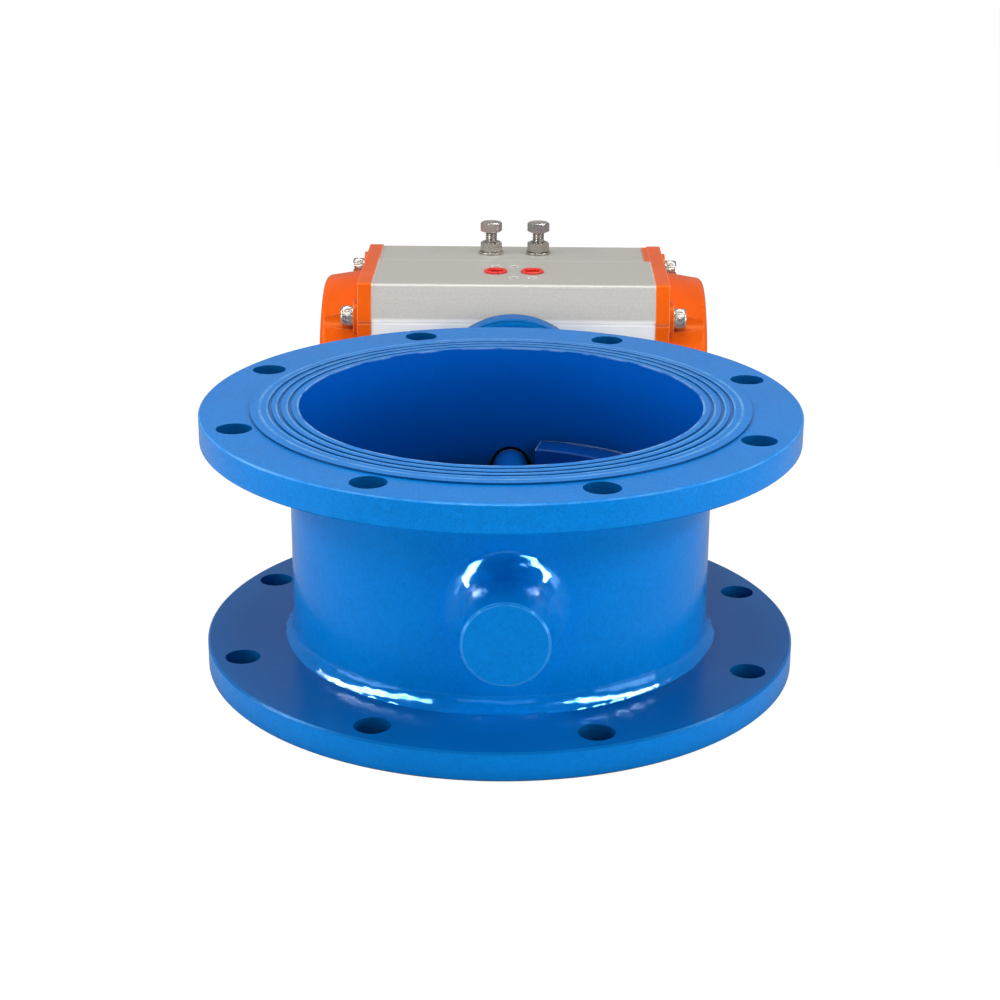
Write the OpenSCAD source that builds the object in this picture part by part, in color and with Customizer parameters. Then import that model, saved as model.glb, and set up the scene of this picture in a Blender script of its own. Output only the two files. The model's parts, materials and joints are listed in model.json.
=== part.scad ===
// Pneumatic actuated butterfly valve: a short flanged pipe with a disc on a horizontal stem,
// turned a quarter by a double-acting rack and pinion cylinder bolted to the stem's end.
// Z runs up the pipe, Y along the stem towards the actuator, X along the actuator's cylinder.
// The origin is the centre of the lower flange's bolting face.

/* [Pipe Body] */
// Outside diameter of the pipe section
tube_od = 219; // [217:0.5:221]
// Wall thickness of the pipe section
tube_wall = 5.5; // [5:0.5:6]
// Distance between the bolting faces of the two flange plates
plate_span = 138; // [136:1:146]
// Outside diameter of both flanges
flange_od = 310; // [306:1:316]
// Thickness of each flange plate
flange_t = 15; // [13:1:17]
// Bolt circle diameter of both flanges
bolt_circle = 280; // [279:1:282]
// Diameter of each flange bolt hole
bolt_hole_d = 18; // [16:1:19]
// Number of bolt holes in each flange
bolt_count = 8; // [4:4:12]
// Turn of the bolt holes about the pipe axis, from straddling the stem
bolt_turn = -2.5; // [-5:0.5:5]
// Diameter of the raised sealing faces
raised_face_d = 258; // [252:1:259]
// Height of the raised sealing faces
raised_face_h = 1; // [0.8:0.1:2]
// Leg length of the welds between pipe and flanges
flange_weld_leg = 8; // [6:1:10]
// Width of those welds on the flange
flange_weld_w = 4.5; // [3:0.5:8]

/* [Disc and Stem] */
// Diameter of the stem
stem_d = 20; // [19:0.5:21]
// Distance of the stem from the pipe axis, along X
stem_offset = 4.5; // [3:0.5:6]
// Thickness of the disc plate
disc_t = 8; // [6:1:10]
// Gap between the disc's edge and the pipe wall
disc_gap = 1; // [0.8:0.1:2]
// Width of each half-ring ledge that the disc closes against
ledge_w = 16; // [12:1:18]
// Thickness of each ledge
ledge_t = 12; // [8:1:14]
// Angle from the stem at which each ledge ends
ledge_end_angle = 12; // [10:1:20]
// Diameter of the blind bearing boss at the front
boss_d = 42; // [40:1:46]
// How far the boss stands out from the pipe axis
boss_reach = 154; // [150:1:160]

/* [Drive Neck] */
// Outside diameter of the neck around the stem
neck_d = 48; // [46:1:49]
// Diameter of the round flange that carries the actuator
mount_flange_d = 102; // [98:1:106]
// Thickness of the round flange that carries the actuator
mount_flange_t = 18; // [14:1:20]
// Distance from the pipe axis to the actuator's mounting face
mount_face_y = 259; // [255:1:265]

/* [Actuator] */
// Length of the aluminium cylinder body
cylinder_l = 182; // [180:1:190]
// Depth of the cylinder body, from mounting face to far face
cylinder_depth = 125; // [124:1:130]
// Height of the port face above the stem axis
port_face_h = 68; // [67:1:72]
// Depth of the underside below the stem axis
underside_h = 60; // [60:1:64]
// Height of the sloping shoulders beside the mounting face
shoulder_h = 22; // [20:1:28]
// How far the shoulders fall back from the mounting face
shoulder_in = 6; // [4:1:7]
// Bore of the cylinder
cylinder_bore = 100; // [98:1:100]
// Thickness of each end cap's rim
cap_rim_t = 9; // [8:1:12]
// Length of the actuator over both domes
actuator_l = 252; // [248:1:262]
// Radius of each dome at its foot
dome_r = 62; // [60:0.5:62]
// Spacing of the two opening-angle stop bolts
stop_spacing = 32; // [30:1:34]
// Spacing of the two air ports
port_spacing = 24; // [22:1:26]
// Distance of the air ports from the mounting face
port_inset = 41.5; // [40:0.5:43]

/* [Rack and Pinion] */
// Tooth module
tooth_module = 2; // [1.8:0.1:2]
// Number of pinion teeth
pinion_teeth = 18; // [18:2:18]
// Thinning of every tooth flank, for backlash
flank_relief = 0.05; // [0.03:0.01:0.1]

/* [Hidden] */
$fn = 96;
eps = 0.01;
run_fit = 0.04; // radial running clearance
loose_fit = 0.05; // radial clearance of a piece that slides through a hole

// pipe
tube_r = tube_od / 2;
bore_r = tube_r - tube_wall;
stem_z = plate_span / 2;
tube_l = plate_span - 2 * flange_t;
groove_radii = [118.7, 113.9, 108.6];
groove_w = 1.8;
groove_h = 0.8;
edge_chamfer = 1;

// disc and stem
disc_r = bore_r - disc_gap;
hub_r = 15;
hub_l = 116;
pin_d = 8;
pin_y = 38;
seat_gap = 0.2;
free_edge_w = 12; // bevel on the disc's edge where no ledge faces it
free_edge_h = 4.1;
seam_gap = 0.05; // between a ledge and the pipe wall it is tacked to
stem_start = -140;
square_small = 14;
square_large = 22;
square_end = mount_face_y + 27;
wall_hole_d = 23.4;

// bearings of the stem
boss_bore_d = 26;
boss_bore_end = -144;
front_bush_l = 37.5;
neck_bore_d = 34;
bush_y = 112;
bush_l = 30;
ring_l = 8;
ring_count = 3;
gland_l = 14;
neck_end = mount_face_y - mount_flange_t;
mount_pcd = 70;
m8 = 8;
m8_hex = 13;
m8_head_h = 5.3;

// actuator
axis_y = mount_face_y + cylinder_depth / 2;
half_depth = cylinder_depth / 2;
half_l = cylinder_l / 2;
cylinder_r = cylinder_bore / 2;
corner_r = 6;
port_step = 0.8; // the port face drops by this much towards the far side
port_step_y = 12.5;
shoulder_r = 3; // rounding between port face and shoulder
front_groove_r = 0.8;
front_groove_drop = 2.4; // from a shoulder's foot to its groove
lip_w = 3.8; // the right cap's lip over the port face's lower band
step_plate_t = 3;
boss_r = 11;
screw_places = [[-50, 45], [49, 54], [-50, -45], [49, -49]];
screw_pocket_r = 9;
screw_head_d = 13;
screw_head_h = 8;
cap_foot = half_l + cap_rim_t + step_plate_t;
dome_top = actuator_l / 2;
dome_taper = 3;
dome_edge_r = 5;
cap_cavity_r = 48;
cap_seal_r = 54.5;
cap_seal_w = 2.6;
cap_seal_h = 2.4;
port_y = mount_face_y + port_inset;
port_d = 11.8;
port_depth = 12;
accessory_d = 4.2;
accessory_depth = 8;
gallery_y = -31.5;
gallery_z = 58;
gallery_d = 5;
gallery_end = half_l - 3.5;

// rack and pinion
pressure_angle = 20;
pitch_r = tooth_module * pinion_teeth / 2;
pitch = PI * tooth_module;
gear_outer_r = pitch_r + tooth_module;
gear_root_r = pitch_r - 1.25 * tooth_module;
base_r = pitch_r * cos(pressure_angle);
rack_half_w = 25;
tooth_y = axis_y - rack_half_w - 0.5;
tooth_l = 2 * rack_half_w + 1;
piston_in = 36;
piston_out = 56;
piston_r = cylinder_r - 0.5;
piston_seal_x = 39;
piston_seal_w = 3.4;
piston_guide_x = 46;
piston_guide_w = 6;
piston_ring_r = cylinder_r - 0.08;
piston_groove_r = piston_r - 3;
rack_spaces = 5; // tooth spaces each side of the middle one
rack_tip = -(rack_spaces + 0.5) * pitch;
rack_back_r = cylinder_r - 2;

// pinion shaft
journal_low_d = 38;
journal_high_d = 30;
bush_wall = 3;
shaft_end = mount_face_y + cylinder_depth + 12;
far_face_y = mount_face_y + cylinder_depth;

// stops
cam_y = 352;
cam_t = 12;
cam_r = 17.5;
cam_flat = 18;
cam_lobe_r = 25;
cam_pocket_r = 27;
stop_y = 360;
stop_gap = 0.1;
washer_d = 16.5;
washer_t = 1.6;
nut_h = 6.5;
plug_flange_t = 1.5;
stop_head_top = 20.8;
stop_head_h = 6.5;

blue = "dodgerblue";
deep_blue = "royalblue";
orange = "darkorange";
alloy = "silver";
steel = "lightsteelblue";
dark_rubber = "dimgray";
bronze = "peru";

// ---- placing ----

// Children stand on the stem axis at height y along it, their own Z along +Y
module on_stem(y) {
    translate([stem_offset, y, stem_z])
        rotate([-90, 0, 0])
            children();
}

// A round bar on the stem axis
module stem_bar(y, l, d) {
    on_stem(y)
        cylinder(h = l, d = d);
}

// A ring on the stem axis
module stem_ring(y, l, outer_d, inner_d) {
    difference() {
        stem_bar(y, l, outer_d);
        stem_bar(y - 1, l + 2, inner_d);
    }
}

// An outline drawn in X and Z about the stem axis, given length l along Y
module stem_prism(y, l) {
    translate([stem_offset, y + l, stem_z])
        rotate([90, 0, 0])
            linear_extrude(l)
                children();
}

// Children stand at the middle of the cylinder; side -1 mirrors them to the left half
module on_cylinder(side = 1) {
    translate([stem_offset, axis_y, stem_z])
        mirror([side < 0 ? 1 : 0, 0, 0])
            children();
}

// An outline drawn in Y and Z about the cylinder axis, given length l along X
module cross_prism(x, l) {
    translate([x, 0, 0])
        rotate([90, 0, 90])
            linear_extrude(l)
                children();
}

// A round bar along X, in the cylinder's frame
module cross_bar(x, l, d, y = 0, z = 0) {
    translate([x, y, z])
        rotate([0, 90, 0])
            cylinder(h = l, d = d);
}

// ---- pipe body ----

module pipe_outside(extra = 0) {
    translate([0, 0, -extra])
        cylinder(h = plate_span + 2 * extra, r = tube_r);
}

module body_tube() {
    color(blue)
        difference() {
            translate([0, 0, flange_t])
                cylinder(h = tube_l, r = tube_r);
            translate([0, 0, flange_t - 1])
                cylinder(h = tube_l + 2, r = bore_r);
            stem_bar(0, tube_r + 5, wall_hole_d);
            stem_bar(-tube_r - 5, tube_r, boss_bore_d);
        }
}

// A flange with its raised face upwards, bolting face at z = 0 and the plate below it
module flange() {
    difference() {
        rotate_extrude()
            polygon([
                [bore_r, -flange_t],
                [flange_od / 2 - edge_chamfer, -flange_t],
                [flange_od / 2, -flange_t + edge_chamfer],
                [flange_od / 2, -edge_chamfer],
                [flange_od / 2 - edge_chamfer, 0],
                [raised_face_d / 2, 0],
                [raised_face_d / 2, raised_face_h],
                [bore_r, raised_face_h]
            ]);
        for (r = groove_radii)
            translate([0, 0, raised_face_h - groove_h])
                difference() {
                    cylinder(h = groove_h + 1, r = r + groove_w / 2);
                    translate([0, 0, -1])
                        cylinder(h = groove_h + 3, r = r - groove_w / 2);
                }
        for (i = [0 : bolt_count - 1])
            rotate(90 + bolt_turn + (i + 0.5) * 360 / bolt_count)
                translate([bolt_circle / 2, 0, -flange_t - 1])
                    cylinder(h = flange_t + 2, d = bolt_hole_d);
    }
}

module upper_flange() {
    color(blue)
        translate([0, 0, plate_span])
            flange();
}

module lower_flange() {
    color(blue)
        mirror([0, 0, 1])
            flange();
}

// A fillet weld round the pipe, standing on z = 0
module ring_weld() {
    rotate_extrude()
        polygon([
            [tube_r, 0],
            [tube_r + flange_weld_w, 0],
            [tube_r + 0.6 * flange_weld_w, 0.55 * flange_weld_leg],
            [tube_r, flange_weld_leg]
        ]);
}

module upper_flange_weld() {
    color(deep_blue)
        translate([0, 0, plate_span - flange_t])
            mirror([0, 0, 1])
                ring_weld();
}

module lower_flange_weld() {
    color(deep_blue)
        translate([0, 0, flange_t])
            ring_weld();
}

module blind_boss() {
    color(blue)
        difference() {
            union() {
                stem_bar(-boss_reach + edge_chamfer, boss_reach - edge_chamfer - 90, boss_d);
                on_stem(-boss_reach)
                    cylinder(h = edge_chamfer, d1 = boss_d - 2 * edge_chamfer, d2 = boss_d);
            }
            pipe_outside();
            stem_bar(boss_bore_end, 60, boss_bore_d);
        }
}

module blind_boss_weld() {
    color(deep_blue)
        difference() {
            on_stem(-tube_r - 14)
                cylinder(h = 21, r1 = boss_d / 2 + 0.5, r2 = boss_d / 2 + 9);
            pipe_outside();
            stem_bar(-boss_reach, boss_reach, boss_d);
        }
}

module drive_neck() {
    color(blue)
        difference() {
            stem_bar(90, neck_end - 90, neck_d);
            pipe_outside();
            stem_bar(90, neck_end, neck_bore_d);
        }
}

module drive_neck_weld() {
    color(deep_blue)
        difference() {
            on_stem(tube_r - 7)
                cylinder(h = 17, r1 = neck_d / 2 + 8, r2 = neck_d / 2 + 0.5);
            pipe_outside();
            stem_bar(80, 60, neck_d);
        }
}

// Centres of the four bolts that join the neck's flange to the actuator
module at_mount_bolts(y) {
    on_stem(y)
        for (a = [45 : 90 : 315])
            rotate(a)
                translate([mount_pcd / 2, 0, 0])
                    children();
}

module mounting_flange() {
    color(blue)
        difference() {
            on_stem(neck_end)
                rotate_extrude()
                    polygon([
                        [neck_bore_d / 2, 0],
                        [mount_flange_d / 2 - 2, 0],
                        [mount_flange_d / 2, 2],
                        [mount_flange_d / 2, mount_flange_t - 2],
                        [mount_flange_d / 2 - 2, mount_flange_t],
                        [neck_bore_d / 2, mount_flange_t]
                    ]);
            at_mount_bolts(neck_end - 1)
                cylinder(h = mount_flange_t + 2, d = m8 + 1);
        }
}

module mounting_flange_weld() {
    color(deep_blue)
        difference() {
            on_stem(neck_end - 3)
                cylinder(h = 3, r1 = neck_d / 2 + 0.5, r2 = neck_d / 2 + 3);
            stem_bar(neck_end - 5, 10, neck_d);
        }
}

// Half of a ring inside the pipe, on the +X side, standing on z = 0
module half_ledge() {
    sweep = 180 - 2 * ledge_end_angle;
    rotate(-sweep / 2)
        rotate_extrude(angle = sweep)
            translate([bore_r - ledge_w, 0])
                square([ledge_w - seam_gap, ledge_t]);
}

module upper_seat_ledge() {
    color(deep_blue)
        translate([0, 0, stem_z + disc_t / 2 + seat_gap])
            half_ledge();
}

module lower_seat_ledge() {
    color(deep_blue)
        translate([0, 0, stem_z - disc_t / 2 - seat_gap - ledge_t])
            rotate(180)
                half_ledge();
}

// ---- disc and stem ----

module at_stem_pins() {
    for (y = [-pin_y, pin_y])
        translate([stem_offset, y, stem_z])
            children();
}

// Bevels the disc's top edge everywhere but under the upper ledge
module free_edge_cut() {
    sweep = 180 + 2 * ledge_end_angle;
    rotate(180 - sweep / 2)
        rotate_extrude(angle = sweep)
            polygon([
                [disc_r - free_edge_w, disc_t / 2],
                [disc_r + 1, disc_t / 2 - free_edge_h * (1 + 1 / free_edge_w)],
                [disc_r + 1, disc_t / 2 + 1],
                [disc_r - free_edge_w, disc_t / 2 + 1]
            ]);
}

module disc() {
    color("steelblue")
        difference() {
            union() {
                translate([0, 0, stem_z])
                    difference() {
                        translate([0, 0, -disc_t / 2])
                            cylinder(h = disc_t, r = disc_r);
                        free_edge_cut();
                        rotate([0, 180, 0])
                            free_edge_cut();
                    }
                stem_bar(-hub_l / 2, hub_l, 2 * hub_r);
            }
            stem_bar(-disc_r - 1, 2 * disc_r + 2, stem_d + 2 * run_fit);
            at_stem_pins()
                cylinder(h = 4 * hub_r, d = pin_d, center = true);
        }
}

module stem() {
    color(steel)
        difference() {
            union() {
                stem_bar(stem_start, mount_face_y - stem_start, stem_d);
                stem_prism(mount_face_y, square_end - mount_face_y)
                    square(square_small, center = true);
            }
            at_stem_pins()
                cylinder(h = 4 * hub_r, d = pin_d, center = true);
        }
}

module stem_pins() {
    color(steel)
        at_stem_pins()
            cylinder(h = 2 * hub_r + 4, d = pin_d, center = true);
}

module front_bush() {
    color(bronze)
        stem_ring(boss_bore_end + 2, front_bush_l, boss_bore_d, stem_d + 2 * run_fit);
}

module rear_bush() {
    color(bronze)
        stem_ring(bush_y, bush_l, neck_bore_d, stem_d + 2 * run_fit);
}

module packing_rings() {
    color("ivory")
        for (i = [0 : ring_count - 1])
            stem_ring(bush_y + bush_l + i * ring_l + eps, ring_l - 2 * eps, neck_bore_d,
                stem_d + 2 * run_fit);
}

module gland_nut() {
    gland_y = bush_y + bush_l + ring_count * ring_l;
    color(bronze)
        difference() {
            stem_ring(gland_y, gland_l, neck_bore_d, stem_d + 1);
            on_stem(gland_y + gland_l)
                cube([neck_bore_d + 2, 5, 8], center = true);
        }
}

module mount_bolts() {
    color(steel)
        at_mount_bolts(neck_end - m8_head_h) {
            cylinder(h = m8_head_h, d = m8_hex / cos(30), $fn = 6);
            cylinder(h = m8_head_h + mount_flange_t + 13, d = m8);
        }
}

// ---- actuator casing ----

// Points on an arc about c
function arc_points(c, r, a0, a1, steps = 6) =
    [for (i = [0 : steps]) c + r * [cos(a0 + (a1 - a0) * i / steps), sin(a0 + (a1 - a0) * i / steps)]];

// Cross-section of the cylinder body in Y and Z: far corners round, near ones sloping shoulders
module body_outline(grow = 0) {
    low = -underside_h - grow;
    high = port_face_h + grow;
    half = half_depth + grow;
    slope = atan(shoulder_in / shoulder_h);
    near_y = -half + shoulder_in + shoulder_r * tan((90 - slope) / 2);
    polygon(concat(
        arc_points([half - corner_r, high - corner_r], corner_r, 0, 90),
        arc_points([near_y, high - shoulder_r], shoulder_r, 90, 180 - slope),
        [[-half, port_face_h - shoulder_h], [-half, -underside_h + shoulder_h]],
        arc_points([near_y, low + shoulder_r], shoulder_r, 180 + slope, 270),
        arc_points([half - corner_r, low + corner_r], corner_r, 270, 360)
    ));
}

// Grooves just inside the feet of the shoulders
module front_grooves(grow = 0) {
    drop = shoulder_h + front_groove_drop;
    for (z = [port_face_h - drop, drop - underside_h])
        translate([-half_depth - grow, z])
            circle(front_groove_r);
}

module at_screws() {
    for (p = screw_places)
        translate([0, p[0], p[1]])
            children();
}

// Drilled air ways: the left port feeds the middle, the right port feeds both ends
module air_ways() {
    for (x = [-1, 1])
        translate([x * port_spacing / 2, port_y - axis_y, port_face_h - port_depth])
            cylinder(h = port_depth + 1, d = port_d);
    translate([-port_spacing / 2, port_y - axis_y, 30])
        cylinder(h = 30, d = gallery_d);
    cross_bar(-gallery_end, 2 * gallery_end, gallery_d, gallery_y, gallery_z);
    translate([port_spacing / 2, gallery_y, gallery_z])
        rotate([-90, 0, 0])
            cylinder(h = port_y - axis_y - gallery_y, d = gallery_d);
    for (x = [-gallery_end, gallery_end])
        translate([x, gallery_y, 30])
            cylinder(h = gallery_z - 30, d = gallery_d);
}

// Tapped holes on the port face, two pairs beside the ports, and four on the far face
module accessory_holes() {
    for (p = [[-12, 16], [0, 16], [0, -16], [12, -16]])
        translate([p[0], port_y - axis_y + p[1], port_face_h - accessory_depth])
            cylinder(h = accessory_depth + 1, d = accessory_d);
    for (x = [-40, 40])
        for (z = [-15, 15])
            translate([x, half_depth - accessory_depth, z])
                rotate([-90, 0, 0])
                    cylinder(h = accessory_depth + 1, d = accessory_d);
}

module at_stops() {
    for (x = [-stop_spacing / 2, stop_spacing / 2])
        translate([stem_offset + x, stop_y, stem_z])
            children();
}

module cylinder_body() {
    color(alloy)
        difference() {
            on_cylinder()
                difference() {
                    cross_prism(-half_l, cylinder_l)
                        difference() {
                            body_outline();
                            translate([port_step_y, port_face_h - port_step])
                                square([half_depth, 2 * port_step]);
                            front_grooves();
                        }
                    cross_bar(-half_l - 1, cylinder_l + 2, cylinder_bore);
                    air_ways();
                    accessory_holes();
                    at_screws()
                        for (x = [-half_l - 1, half_l - 20])
                            cross_bar(x, 21, m8);
                }
            stem_bar(mount_face_y - 1, 30, journal_low_d + 2 * bush_wall);
            stem_bar(far_face_y - 30, 31, journal_high_d + 2 * bush_wall);
            stem_bar(cam_y - 2, cam_t + 5, 2 * cam_pocket_r);
            at_mount_bolts(mount_face_y - 1)
                cylinder(h = 14, d = m8);
            at_stops()
                translate([0, 0, cylinder_r / 2])
                    cylinder(h = port_face_h, d = m8 + 2 * loose_fit);
        }
}

// Side profile of a dome: radius against height, its rim an arc
function dome_profile() = let (
        top_r = dome_r - dome_taper,
        c = [top_r - dome_edge_r, dome_top - dome_edge_r]
    ) concat(
        [[0, cap_foot - 1], [dome_r, cap_foot - 1], [dome_r, cap_foot]],
        [for (a = [0 : 15 : 90]) c + dome_edge_r * [cos(a), sin(a)]],
        [[0, dome_top]]
    );

module end_cap(side) {
    color(orange)
        on_cylinder(side)
            difference() {
                union() {
                    cross_prism(half_l, cap_rim_t)
                        difference() {
                            body_outline(0.5);
                            front_grooves(0.5);
                        }
                    if (side > 0)
                        translate([half_l - lip_w, port_step_y, port_face_h - port_step])
                            cube([lip_w + 1, half_depth - corner_r - port_step_y, port_step]);
                    cross_prism(half_l + cap_rim_t - 1, step_plate_t + 1) {
                        circle(dome_r);
                        for (p = screw_places)
                            translate(p)
                                circle(boss_r);
                    }
                    rotate([0, 90, 0])
                        rotate_extrude()
                            polygon(dome_profile());
                }
                cross_bar(half_l - 1, dome_top - half_l - 4, 2 * cap_cavity_r);
                at_screws() {
                    cross_bar(half_l - 1, 30, m8 + 0.6);
                    cross_bar(cap_foot, dome_top, 2 * screw_pocket_r);
                }
                cross_prism(half_l - 1, cap_seal_h + 1)
                    seal_ring_outline();
            }
}

module seal_ring_outline() {
    difference() {
        circle(cap_seal_r + cap_seal_w / 2);
        circle(cap_seal_r - cap_seal_w / 2);
    }
}

module left_end_cap() {
    end_cap(-1);
}

module right_end_cap() {
    end_cap(1);
}

module cap_seal(side) {
    color(dark_rubber)
        on_cylinder(side)
            cross_prism(half_l, cap_seal_h)
                seal_ring_outline();
}

module left_cap_seal() {
    cap_seal(-1);
}

module right_cap_seal() {
    cap_seal(1);
}

// Four socket head screws, heads on the cap's stepped plate
module cap_screws(side) {
    color(steel)
        on_cylinder(side)
            at_screws()
                difference() {
                    union() {
                        cross_bar(cap_foot, screw_head_h, screw_head_d);
                        cross_bar(half_l - 18, cap_foot - half_l + 18 + eps, m8);
                    }
                    translate([cap_foot + screw_head_h - 4, 0, 0])
                        rotate([0, 90, 0])
                            cylinder(h = 5, d = 6 / cos(30), $fn = 6);
                }
}

module left_cap_screws() {
    cap_screws(-1);
}

module right_cap_screws() {
    cap_screws(1);
}

// ---- rack pistons ----

// Half width of a rack's tooth space at height z above the pinion axis
function space_half(z) = pitch / 4 + flank_relief + (pitch_r - z) * tan(pressure_angle);

// Side view of the toothed leg in X and Z, teeth pointing down at the pinion
function rack_profile() = let (
        tip = pitch_r - tooth_module,
        root = pitch_r + 1.25 * tooth_module
    ) concat(
        [[rack_tip, cylinder_r], [rack_tip, tip]],
        [for (k = [-rack_spaces : rack_spaces])
            for (p = [[-1, tip], [-1, root], [1, root], [1, tip]])
                [k * pitch + p[0] * space_half(p[1]), p[1]]],
        [[piston_in + 1, tip], [piston_in + 1, cylinder_r]]
    );

// The right piston: a head and a leg whose rack runs over the pinion
module piston() {
    difference() {
        cross_bar(piston_in, piston_out - piston_in, 2 * piston_r);
        cross_bar(piston_out - 6, 7, 76);
        piston_groove(piston_seal_x, piston_seal_w);
        piston_groove(piston_guide_x, piston_guide_w);
    }
    intersection() {
        cross_prism(rack_tip, piston_in + 1 - rack_tip)
            intersection() {
                circle(rack_back_r);
                translate([-rack_half_w, 0])
                    square([2 * rack_half_w, cylinder_r]);
            }
        translate([0, rack_half_w + 1, 0])
            rotate([90, 0, 0])
                linear_extrude(2 * rack_half_w + 2)
                    polygon(rack_profile());
    }
}

module piston_groove(x, w) {
    difference() {
        cross_bar(x, w, cylinder_bore + 2);
        cross_bar(x - 1, w + 2, 2 * piston_groove_r);
    }
}

module piston_ring(x, w) {
    difference() {
        cross_bar(x, w, 2 * piston_ring_r);
        cross_bar(x - 1, w + 2, 2 * piston_groove_r);
    }
}

// The left piston is the right one turned half round the pinion
module on_piston(side) {
    on_cylinder()
        rotate([0, side < 0 ? 180 : 0, 0])
            children();
}

module left_piston() {
    color("gainsboro")
        on_piston(-1)
            piston();
}

module right_piston() {
    color("gainsboro")
        on_piston(1)
            piston();
}

module left_piston_seal() {
    color(dark_rubber)
        on_piston(-1)
            piston_ring(piston_seal_x, piston_seal_w);
}

module right_piston_seal() {
    color(dark_rubber)
        on_piston(1)
            piston_ring(piston_seal_x, piston_seal_w);
}

module left_piston_guide() {
    color("ivory")
        on_piston(-1)
            piston_ring(piston_guide_x, piston_guide_w);
}

module right_piston_guide() {
    color("ivory")
        on_piston(1)
            piston_ring(piston_guide_x, piston_guide_w);
}

// ---- pinion shaft ----

function polar(r, a) = r * [cos(a), sin(a)];

// Involute function of an angle, in degrees
function inv(a) = tan(a) * 180 / PI - a;

// Half angle of a tooth at radius r
function tooth_half(r) =
    90 / pinion_teeth - flank_relief / pitch_r * 180 / PI
    + inv(pressure_angle) - inv(acos(min(1, base_r / r)));

// The pinion's outline, with one tooth pointing straight up
function pinion_profile() = let (
        radii = [base_r, for (i = [1 : 5]) base_r + (gear_outer_r - base_r) * i / 5]
    ) [for (i = [0 : pinion_teeth - 1])
        let (c = 90 + i * 360 / pinion_teeth)
            each concat(
                [polar(gear_root_r, c - tooth_half(base_r))],
                [for (r = radii) polar(r, c - tooth_half(r))],
                [for (k = [5 : -1 : 0]) polar(radii[k], c + tooth_half(radii[k]))],
                [polar(gear_root_r, c + tooth_half(base_r))]
            )];

module pinion() {
    color(steel)
        difference() {
            union() {
                stem_bar(mount_face_y + 1, tooth_y - mount_face_y - 1, journal_low_d);
                stem_prism(tooth_y, tooth_l)
                    polygon(pinion_profile());
                stem_bar(tooth_y + tooth_l, shaft_end - tooth_y - tooth_l, journal_high_d);
            }
            stem_prism(mount_face_y, 29)
                square(square_large + 2 * loose_fit, center = true);
            stem_ring(far_face_y + 1.5, 1.5, journal_high_d + 2, journal_high_d - 2);
            stem_bar(shaft_end - 14, 15, 5);
        }
}

module drive_adapter() {
    color(steel)
        stem_prism(mount_face_y + 1, 25)
            difference() {
                square(square_large, center = true);
                square(square_small + 2 * loose_fit, center = true);
            }
}

// Cam with two flats at right angles, one for each stop bolt
module stop_cam() {
    color(steel)
        stem_prism(cam_y, cam_t)
            difference() {
                union() {
                    circle(cam_r);
                    intersection() {
                        circle(cam_lobe_r);
                        union() {
                            translate([6, 0])
                                square([cam_lobe_r, cam_flat]);
                            translate([-cam_flat, -6 - cam_lobe_r])
                                square([cam_flat, cam_lobe_r]);
                        }
                    }
                }
                circle(d = journal_high_d);
            }
}

module lower_pinion_bush() {
    color(bronze)
        stem_ring(mount_face_y + 1.5, 6.5, journal_low_d + 2 * bush_wall,
            journal_low_d + 2 * run_fit);
}

module lower_pinion_seal() {
    color(dark_rubber)
        stem_ring(mount_face_y + 8.5, 3, journal_low_d + 2 * bush_wall,
            journal_low_d + 2 * run_fit);
}

module upper_pinion_bush() {
    color(bronze)
        stem_ring(far_face_y - 7.5, 7, journal_high_d + 2 * bush_wall,
            journal_high_d + 2 * run_fit);
}

module upper_pinion_seal() {
    color(dark_rubber)
        stem_ring(far_face_y - 11.5, 3, journal_high_d + 2 * bush_wall,
            journal_high_d + 2 * run_fit);
}

module thrust_washer() {
    color("ivory")
        stem_ring(far_face_y, 1.5 - eps, 46, journal_high_d + 1);
}

module retaining_ring() {
    color("dimgray")
        stem_ring(far_face_y + 1.5, 1.5, journal_high_d + 8, journal_high_d - 2);
}

module indicator_puck() {
    color("darkorange")
        difference() {
            stem_bar(far_face_y + 4, 12, 42);
            stem_bar(far_face_y + 3, shaft_end - far_face_y - 3, journal_high_d);
            stem_bar(far_face_y, 20, 6.4);
            stem_bar(far_face_y + 14, 3, 10.4);
            translate([stem_offset, far_face_y + 16, stem_z])
                cube([36, 3, 5], center = true);
        }
}

module indicator_screw() {
    color(steel)
        difference() {
            union() {
                stem_bar(shaft_end - 12, 16, 5);
                stem_bar(far_face_y + 14, 3, 10);
            }
            translate([stem_offset, far_face_y + 17, stem_z])
                cube([11, 2.4, 1.2], center = true);
        }
}

// ---- stops and ports ----

// One stop bolt at side x, its tip just above the cam's flat
module stop_bolt(x) {
    color(steel)
        translate([stem_offset + x * stop_spacing / 2, stop_y, stem_z]) {
            translate([0, 0, cam_flat + stop_gap])
                cylinder(h = port_face_h + stop_head_top - cam_flat - stop_head_h, d = m8);
            translate([0, 0, port_face_h + stop_head_top - stop_head_h])
                cylinder(h = stop_head_h, d = m8_hex / cos(30), $fn = 6);
        }
}

module stop_bolt_left() {
    stop_bolt(-1);
}

module stop_bolt_right() {
    stop_bolt(1);
}

module stop_nuts() {
    color(steel)
        at_stops()
            translate([0, 0, port_face_h - port_step + washer_t])
                difference() {
                    cylinder(h = nut_h, d = m8_hex / cos(30), $fn = 6);
                    translate([0, 0, -1])
                        cylinder(h = nut_h + 2, d = m8 + 2 * loose_fit);
                }
}

module stop_washers() {
    color(steel)
        at_stops()
            translate([0, 0, port_face_h - port_step])
                difference() {
                    cylinder(h = washer_t - eps, d = washer_d);
                    translate([0, 0, -1])
                        cylinder(h = washer_t + 2, d = m8 + 0.4);
                }
}

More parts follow.
